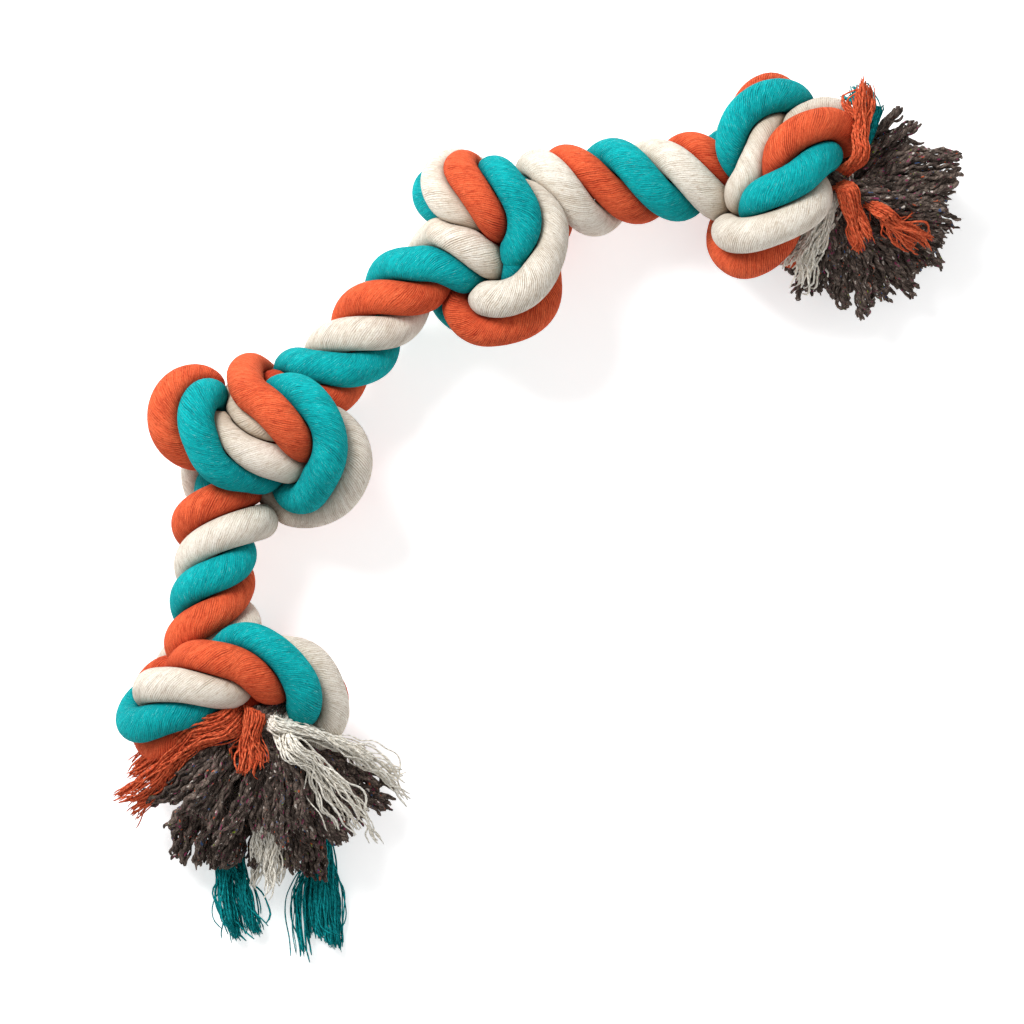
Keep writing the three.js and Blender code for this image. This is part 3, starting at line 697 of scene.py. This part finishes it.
# locks: name, colour, strand it carries on from or -1, route
LOCKS_1 = [
    ("brown_left", "brown", 0,
     ((-0.149, -0.122, 0.022), (-0.163, -0.138, 0.017), (-0.184, -0.157, -0.002))),
    ("brown_middle", "brown", 1,
     ((-0.142, -0.126, 0.014), (-0.148, -0.145, 0.013), (-0.157, -0.166, 0.002))),
    ("brown_right", "brown", 2,
     ((-0.119, -0.122, 0.02), (-0.119, -0.144, 0.017), (-0.122, -0.168, 0.004))),
    ("brown_far_right", "brown", -1,
     ((-0.1, -0.128, 0.002), (-0.084, -0.14, -0.006), (-0.066, -0.152, -0.022))),
    ("brown_side_right", "brown", -1,
     ((-0.106, -0.124, 0.008), (-0.101, -0.148, 0.006), (-0.094, -0.172, -0.01))),
    ("brown_low_left", "brown", -1,
     ((-0.156, -0.142, -0.012), (-0.16, -0.164, -0.018), (-0.166, -0.186, -0.026))),
    ("brown_low_middle", "brown", -1,
     ((-0.14, -0.148, -0.016), (-0.142, -0.172, -0.022), (-0.146, -0.19, -0.028))),
    ("brown_low_right", "brown", -1,
     ((-0.112, -0.14, -0.01), (-0.108, -0.168, -0.016), (-0.106, -0.192, -0.024))),
    ("orange_short", "orange", -1,
     ((-0.133, -0.112, 0.027), (-0.135, -0.122, 0.027), (-0.138, -0.134, 0.024))),
    ("orange_long", "orange", -1,
     ((-0.151, -0.1125, 0.025), (-0.175, -0.127, 0.014), (-0.205, -0.149, -0.014))),
    ("cream_right", "cream", -1,
     ((-0.116, -0.1125, 0.025), (-0.09, -0.118, 0.014), (-0.056, -0.146, -0.02))),
    ("cream_fall", "cream", -1,
     ((-0.108, -0.116, 0.024), (-0.095, -0.142, 0.018), (-0.08, -0.17, -0.008))),
    ("cream_low", "cream", -1,
     ((-0.127, -0.154, -0.004), (-0.128, -0.174, -0.009), (-0.131, -0.198, -0.02))),
    ("teal_left", "teal", -1,
     ((-0.15, -0.168, -0.03), (-0.146, -0.192, -0.031), (-0.141, -0.224, -0.032))),
    ("teal_right", "teal", -1,
     ((-0.106, -0.16, -0.028), (-0.102, -0.19, -0.03), (-0.1, -0.232, -0.032))),
]
LOCKS_2 = [
    ("brown_top", "brown", 0,
     ((0.19, 0.184, 0.002), (0.201, 0.194, 0.0), (0.209, 0.201, -0.01))),
    ("brown_middle", "brown", 1,
     ((0.187, 0.174, 0.004), (0.208, 0.175, 0.0), (0.23, 0.177, -0.014))),
    ("brown_front", "brown", -1,
     ((0.18, 0.161, 0.014), (0.202, 0.16, 0.01), (0.228, 0.154, -0.008))),
    ("brown_lower", "brown", 2,
     ((0.184, 0.146, -0.006), (0.194, 0.13, -0.014), (0.203, 0.111, -0.024))),
    ("brown_side", "brown", -1,
     ((0.192, 0.15, -0.012), (0.208, 0.141, -0.016), (0.222, 0.131, -0.024))),
    ("brown_under", "brown", -1,
     ((0.178, 0.138, 0.002), (0.179, 0.124, -0.008), (0.18, 0.111, -0.022))),
    ("brown_bottom", "brown", -1,
     ((0.166, 0.142, 0.014), (0.161, 0.131, 0.004), (0.156, 0.12, -0.016))),
    ("orange_top", "orange", -1,
     ((0.178, 0.188, 0.031), (0.181, 0.204, 0.027), (0.181, 0.222, 0.012))),
    ("orange_front", "orange", -1,
     ((0.173, 0.159, 0.026), (0.179, 0.148, 0.027), (0.184, 0.136, 0.018))),
    ("orange_side", "orange", -1,
     ((0.183, 0.154, 0.026), (0.198, 0.146, 0.018), (0.215, 0.139, 0.0))),
    ("teal_top", "teal", -1,
     ((0.189, 0.2, 0.008), (0.184, 0.21, 0.004), (0.176, 0.219, -0.002))),
    ("cream_lower", "cream", -1,
     ((0.158, 0.144, 0.022), (0.151, 0.134, 0.014), (0.147, 0.124, -0.004))),
]

# yarns of a lock by colour: how many, their radius, sides and step, the lock's radius at its
# root and tip, crimp and its pitch, least reach, and shares of strays, slubs and plies
YARNS = {
    "brown": dict(count=80, radius=0.00094, sides=6, step=0.0017, root=0.0072, tip=0.0135,
                  crimp=0.0008, pitch=0.011, least=0.76, strays=0.03, slub=0.3, ply=0.16),
    "orange": dict(count=140, radius=0.00043, sides=4, step=0.0026, root=0.0070, tip=0.0105,
                   crimp=0.0005, pitch=0.021, least=0.62, strays=0.16, slub=0.10, ply=0.0),
    "teal": dict(count=190, radius=0.00043, sides=4, step=0.0026, root=0.0076, tip=0.0125,
                 crimp=0.0004, pitch=0.024, least=0.78, strays=0.10, slub=0.10, ply=0.0),
    "cream": dict(count=100, radius=0.00050, sides=4, step=0.0026, root=0.0070, tip=0.0105,
                  crimp=0.0009, pitch=0.020, least=0.55, strays=0.22, slub=0.10, ply=0.0),
}

# locks with fewer or more yarns: share of the lock's yarns and of its width
SLIM_SHARES = {
    "orange_short": (0.8, 0.75), "orange_top": (0.7, 0.6), "orange_front": (0.8, 0.7),
    "orange_side": (0.6, 0.6), "orange_long": (1.3, 1.15), "cream_right": (0.6, 0.65),
    "cream_fall": (0.45, 0.9), "cream_low": (1.0, 0.9), "teal_top": (0.5, 0.6),
}

# locks that leave the knot over the others, how far back they start, and how deep the
# root of every yarn lies inside its strand
UPPER_LOCKS = ("orange_short", "orange_long", "orange_top", "orange_front", "cream_right",
               "cream_fall")
LEAD_IN = 0.009
FRAY_INSIDE = 0.006

# the clumps of a lock: how many, how evenly they stand round it, how far from its middle at
# the least, the share of its length that the longest reaches, and how wide one spreads
CLUMPS = 7
CLUMP_TURN = 0.03
CLUMP_LEAST_AREA_SHARE = 0.12
CLUMP_REACH_SHARE = 1.02
CLUMP_SPREAD_SHARE = 0.15

# the way of one yarn: its points, its length beside its clump's, where the lock has opened,
# how far the lock is flattened, and how far the yarn wanders with its clump and on its own
PATH_POINTS = 10
YARN_REACH_SHARES = (0.95, 1.03)
OPENED_BY_SHARE = 0.5
FLATTEN_SHARE = 0.28
WANDER = 0.0026
STRAY_WANDER = 0.008
BENDS = 3
CLUMP_BEND_SHARE = 0.7
OWN_BEND_SHARE = 0.45

# its crimp: where it is full, its spread in size and pitch, and how uneven its turns are
CRIMPED_BY_SHARE = 1 / 3
CRIMP_SHARES = (0.6, 1.3)
PITCH_SHARES = (0.85, 1.2)
PHASE_SPREAD = 0.12
TURN_KNOTS = 4
TURN_SPREAD = 0.8

# its thickness: twist of the plies, length and limits of the slubs, spread, and the cut end
PLY_PITCH = 0.009
SLUB_RINGS = 3
LEAST_SLUBS = 3
SLUB_LIMITS = (-1.2, 1.6)
THICK_SHARES = (0.82, 1.18)
CUT_END_SHARE = 0.55
HAIRLESS_RINGS = 2

# twisted yarn's finish: pitch of the twist, relief, and tones of dyed and recycled yarn;
# the dark tone also paints shade into the valleys of the twist
CUT_RELIEF = 0.00035
CUT_TONES = {
    "orange": dict(base=(240, 98, 56), dark=(176, 44, 22), light=(255, 142, 98),
                   twist=0.0035, dark_share=0.35),
    "teal": dict(base=(0, 150, 156), dark=(0, 84, 92), light=(40, 196, 198),
                 twist=0.0035, dark_share=0.4),
    "cream": dict(base=(255, 248, 232), dark=(236, 214, 180), light=(255, 255, 250),
                  twist=0.0035, dark_share=0.14),
    "brown": dict(base=(90, 75, 69), dark=(20, 15, 15), light=(176, 157, 144),
                  twist=0.005, dark_share=0.65),
}

# strays of other colours spun into the recycled yarn, with the share they take
FLECK_SHARES = [
    ((150, 52, 96), 0.33), ((168, 196, 50), 0.25), ((52, 96, 150), 0.28), ((206, 92, 48), 0.29),
    ((226, 218, 208), 0.31),
]


def cut_yarn_material(name, base, dark, light, twist, dark_share):
    """Loose yarn: twisted plies, painted shade between them, uneven tint, strays in recycled yarn.
    """
    material, u, v, place = blank_material(f"{name}_yarn")
    base, dark, light = dye(base), dye(dark), dye(light)
    tint = attribute(u, "tint")
    yarn = tint * 37
    phase = u * 2 - v * (1 / twist)
    valley = abs(phase % 1 * 2 - 1) ** GAP_SHARPNESS
    fibre = noise(point(phase * 2.5, v * 420, yarn), scale=1, detail=4, roughness=0.8)
    patch = noise(point(v * 130, yarn), scale=1, detail=3, roughness=0.65)
    felt = noise(place, scale=1300, detail=3, roughness=0.75)
    tone = mix(rise(fibre, 0.36, 0.64), base, light)
    tone = mix(rise(patch, 0.62, 0.38, top=dark_share), tone, dark)
    tone = mix(rise(felt, 0.52, 0.38, top=dark_share), tone, dark)
    # painted shade in the valleys between the twisted plies
    tone = mix(valley * dark_share, tone, dark)
    tone = mix(rise(tint, 0.5, 0.0, top=dark_share), tone, dark)
    for order, (fleck, share) in enumerate(FLECK_SHARES if name == "brown" else ()):
        spot = noise(point(u * 3, v * 330, yarn + 11.3 * (order + 1)), scale=1, detail=1)
        tone = mix(rise(spot, 1 - share, 1.04 - share, top=0.8), tone, dye(fleck))
    cotton(tone, fibre * 1.2 + felt * 1.2 - valley, CUT_RELIEF, 0.08, light)
    return material


def settled_locks():
    """Centre lines of all locks, settled against each other and on the ground."""
    lines = []
    for locks, order, (axis, plane) in (
        (LOCKS_1, TAIL_1, TAIL_PLANE_1), (LOCKS_2, TAIL_2, TAIL_PLANE_2)
    ):
        for _, _, strand, middle in locks:
            points = np.array(middle) + (0, 0, ROPE_HEIGHT)
            if strand >= 0:
                root = strands[strand][stations[order]].copy()
                root[axis] = plane + math.copysign(CUT_GAP, plane)
                points = np.vstack([root, points])
            lines.append(even_curve(points, LOCK_STEP))
    radii = []
    for line in lines:
        grow = np.sqrt(np.arange(len(line)) / (len(line) - 1))
        radii.append(LOCK_SETTLED_ROOT_R + (LOCK_SETTLED_TIP_R - LOCK_SETTLED_ROOT_R) * grow)
    return settle(lines, radii, **LOCK_SETTLING)


def follow_frames(line, first):
    """Normals and sides carried along a line from a given first normal."""
    tangent = units(np.gradient(line, axis=0))
    normal = np.empty_like(line)
    held = first
    for i, t in enumerate(tangent):
        held = held - t * held.dot(t)
        held /= np.linalg.norm(held)
        normal[i] = held
    return normal, np.cross(normal, tangent)


def slow_noise(count, knots):
    """Smooth random values of about unit size at even places."""
    values = rng.normal(size=knots + 1)
    return np.interp(np.linspace(0, knots, count), np.arange(knots + 1), values)


def yarn_path(look, lock, clump):
    """One yarn's way: from inside the strand's end, out along the lock with its clump."""
    line, normal, side = lock["line"], lock["normal"], lock["side"]
    last = len(line) - 1
    reach = clump["reach"] * rng.uniform(*YARN_REACH_SHARES)
    stray = rng.uniform() < look["strays"]
    at = np.linspace(0, 1, PATH_POINTS)[1:] * reach * last
    points = np.stack([np.interp(at, np.arange(last + 1), line[:, k]) for k in range(3)], axis=1)
    points += np.maximum(at[:, None] - last, 0) * (line[-1] - line[-2])
    low = np.minimum(at.astype(int), last)
    share = (at / last)[:, None]
    opened = np.minimum(1, share / OPENED_BY_SHARE)
    wide = look["root"] + (look["tip"] - look["root"]) * np.sqrt(share)
    rho = math.sqrt(rng.uniform(0, 1))
    turn = rng.uniform(0, math.tau)
    spot = np.array([rho * math.cos(turn), rho * math.sin(turn)])
    drawn_in = clump["spot"] + rng.normal(size=2) * CLUMP_SPREAD_SHARE
    place = spot + (drawn_in - spot) * opened
    offset = wide * (place[:, :1] * normal[low] + place[:, 1:] * side[low])
    offset[:, 2] *= 1 - FLATTEN_SHARE * opened[:, 0]
    bend = clump["bend"] * CLUMP_BEND_SHARE + rng.normal(size=(BENDS, 3)) * OWN_BEND_SHARE
    size = STRAY_WANDER if stray else WANDER
    for order, way_out in enumerate(bend):
        wave = np.sin(share * math.pi * (order + 1) + order) / (order + 1)
        offset += size * share * wave * way_out
    first = lock["root"] + look["root"] * (spot[0] * lock["root_normal"]
                                           + spot[1] * lock["root_side"])
    if lock["over"]:
        lead = line[0] - LEAD_IN * units(line[1] - line[0])
        first = np.vstack([first[:2], lead + offset[0]])
    return even_curve(np.vstack([first, points + offset]), look["step"])


def crimped(path, run, look, first, phase, way):
    """The yarn's way with the crimp that the lay of the strand left in it."""
    normal, side = follow_frames(path, first)
    size = np.minimum(1, run / run[-1] / CRIMPED_BY_SHARE) * look["crimp"]
    size = size * rng.uniform(*CRIMP_SHARES)
    turns = run / look["pitch"] * rng.uniform(*PITCH_SHARES) + phase
    turns = turns + rng.normal() * PHASE_SPREAD
    angle = math.tau * turns + slow_noise(len(run), TURN_KNOTS) * TURN_SPREAD
    aside = (size * np.cos(angle))[:, None] * normal
    return path + aside + (size * np.sin(angle) * way)[:, None] * side


def yarn_tube(path, run, look, first, turn):
    """Rings of one yarn: two twisted plies if it has them, slubs, and a soft cut end."""
    normal, side = follow_frames(path, first)
    angle = (np.arange(look["sides"]) * math.tau / look["sides"])[None]
    lobes = 1 + look["ply"] * np.cos(2 * (angle - math.tau * run[:, None] / PLY_PITCH + turn))
    slubs = slow_noise(len(run), max(LEAST_SLUBS, len(run) // SLUB_RINGS))
    slubs = 1 + look["slub"] * np.clip(slubs, *SLUB_LIMITS)
    thick = look["radius"] * rng.uniform(*THICK_SHARES) * slubs
    thick[-1] *= CUT_END_SHARE
    path[:, 2] = np.maximum(path[:, 2], GROUND_CUT + thick * (1 + look["ply"]))
    out = normal[:, None] * np.cos(angle)[..., None] + side[:, None] * np.sin(angle)[..., None]
    return path[:, None] + out * (lobes * thick[:, None])[..., None], out


def lock_frames(name, tube, cut, way, line):
    """A lock's line with its frames, and its root inside the strand that it carries on from."""
    back = cut - way * round(FRAY_RUN / FINE_STEP)
    deep = back - way * round(FRAY_INSIDE / FINE_STEP)
    picks = [deep, back, (back + cut) // 2, cut]
    root = tube["line"][picks]
    root_normal = tube["out"][picks, 0]
    root_side = np.cross(root_normal, units(np.gradient(root, axis=0)))
    normal, side = follow_frames(line, root_normal[-1])
    return {"line": line, "normal": normal, "side": side, "root": root,
            "root_normal": root_normal, "root_side": root_side, "over": name in UPPER_LOCKS}


def lock_clumps(least):
    """The clumps that a lock's yarns gather in: their place, bend and reach."""
    clumps = []
    for order in range(CLUMPS):
        turn = math.tau * (order / CLUMPS + rng.uniform(-CLUMP_TURN, CLUMP_TURN))
        rho = math.sqrt(rng.uniform(CLUMP_LEAST_AREA_SHARE, 1))
        clumps.append({"spot": np.array([rho * math.cos(turn), rho * math.sin(turn)]),
                       "bend": rng.normal(size=(BENDS, 3)), "phase": rng.uniform(),
                       "reach": rng.uniform(least, CLUMP_REACH_SHARE)})
    return clumps


def yarn_lock(name, tone, tube, cut, tail, line):
    """A lock's yarns, from inside the strand's end out along the lock's line."""
    look = dict(YARNS[tone])
    yarn_share, width_share = SLIM_SHARES.get(name, (1, 1))
    look["root"] *= width_share
    look["tip"] *= width_share
    way = -1 if tail == 1 else 1
    lock = lock_frames(name, tube, cut, way, line)
    first = lock["root_normal"][0]
    clumps = lock_clumps(look["least"])
    grids, runs, tints = [], [], []
    for order in range(round(look["count"] * yarn_share)):
        clump = clumps[order % CLUMPS]
        path = yarn_path(look, lock, clump)
        run = np.arange(len(path)) * look["step"]
        path = crimped(path, run, look, first, clump["phase"], way)
        grid, out = yarn_tube(path, run, look, first, rng.uniform())
        grids.append(grid - shift)
        runs.append(run)
        tints.append(np.full(grid.size // 3, rng.uniform()))
        if tone == "brown" and YARN_HAIRS:
            rings = rng.integers(HAIRLESS_RINGS, len(grid), YARN_HAIRS)
            at = (rings, rng.integers(look["sides"], size=YARN_HAIRS))
            along = units(np.gradient(path, axis=0))[rings]
            grids += list(fibres(grids[-1][at], out[at], along, **YARN_HAIR))
            runs += [np.full(HAIR_RINGS, run[i]) for i in rings]
            tints.append(np.full(YARN_HAIRS * HAIR_POINTS, rng.uniform()))
    node = f"tassel_{tail}_{name}"
    piece = tube_mesh(f"{node}_yarns", grids, runs, {"tint": np.concatenate(tints)}, CUT[tone])
    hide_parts(node)
    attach(piece, "knot_1" if tail == 1 else "knot_4")


CUT = {name: cut_yarn_material(name, **tones) for name, tones in CUT_TONES.items()}
lock_lines = iter(settled_locks())
for tail, locks, station in ((1, LOCKS_1, stations[TAIL_1]), (2, LOCKS_2, stations[TAIL_2])):
    for name, tone, strand, _ in locks:
        source = tone if tone in COLOURS else "cream"
        k = strand if strand >= 0 else COLOURS.index(source)
        cut = int(lengths(tubes[k]["line"] - strands[k][station]).argmin())
        yarn_lock(name, tone, tubes[k], cut, tail, next(lock_lines))


# The studio: a plain pale floor that glows a little, as a lit sweep does, a soft key lamp
# from the upper left, a wide weak fill, and the camera straight above the toy.
FLOOR_HALF = 8.0
FLOOR_DROP = 0.0005
FLOOR_GLOW = 0.5
KEY = dict(place=(-0.8, 1.04, 1.27), size=0.8, power=34.5)
FILL = dict(place=(1.0, -0.2, 1.9), size=1.8, power=5)
PHOTO_WIDTH = 0.5325
CAMERA_HEIGHT = 2.4
VIEW_LEVEL = 0.035
VIEW_END = 20
WORLD_LIGHT = 0.47


def studio_floor():
    """The pale floor under the toy, wide enough for a low view from any side."""
    mesh = bpy.data.meshes.new("floor")
    half = FLOOR_HALF
    mesh.from_pydata([(-half, -half, 0), (half, -half, 0), (half, half, 0), (-half, half, 0)],
                     [], [(0, 1, 2, 3)])
    material = bpy.data.materials.new("floor")
    material.use_nodes = True
    skin = material.node_tree.nodes["Principled BSDF"].inputs
    skin["Base Color"].default_value = (0.9, 0.9, 0.9, 1)
    skin["Roughness"].default_value = 0.9
    skin["Specular IOR Level"].default_value = 0
    skin["Emission Color"].default_value = (1, 1, 1, 1)
    skin["Emission Strength"].default_value = FLOOR_GLOW
    mesh.materials.append(material)
    piece = bpy.data.objects.new("floor", mesh)
    bpy.context.scene.collection.objects.link(piece)
    piece.location.z = -FLOOR_DROP


def lamp(name, place, size, power):
    """A round area lamp that faces the toy."""
    data = bpy.data.lights.new(name, "AREA")
    data.shape = "DISK"
    data.size = size
    data.energy = power
    piece = bpy.data.objects.new(name, data)
    piece.location = place
    flat = math.hypot(place[0], place[1])
    piece.rotation_euler = (math.atan2(flat, place[2]), 0, math.atan2(place[0], -place[1]))
    bpy.context.scene.collection.objects.link(piece)


def camera():
    """The camera over the photo's centre, looking straight down."""
    data = bpy.data.cameras.new("camera")
    data.angle = 2 * math.atan(PHOTO_WIDTH / 2 / (CAMERA_HEIGHT - VIEW_LEVEL))
    data.clip_end = VIEW_END
    eye = bpy.data.objects.new("camera", data)
    eye.location = (-CENTRE[0], -CENTRE[1], CAMERA_HEIGHT)
    bpy.context.scene.collection.objects.link(eye)
    bpy.context.scene.camera = eye


studio_floor()
lamp("key", **KEY)
lamp("fill", **FILL)
camera()
world = bpy.data.worlds.new("studio")
world.use_nodes = True
world.node_tree.nodes["Background"].inputs["Color"].default_value = (1, 1, 1, 1)
world.node_tree.nodes["Background"].inputs["Strength"].default_value = WORLD_LIGHT
bpy.context.scene.world = world
bpy.context.scene.view_settings.view_transform = "Standard"
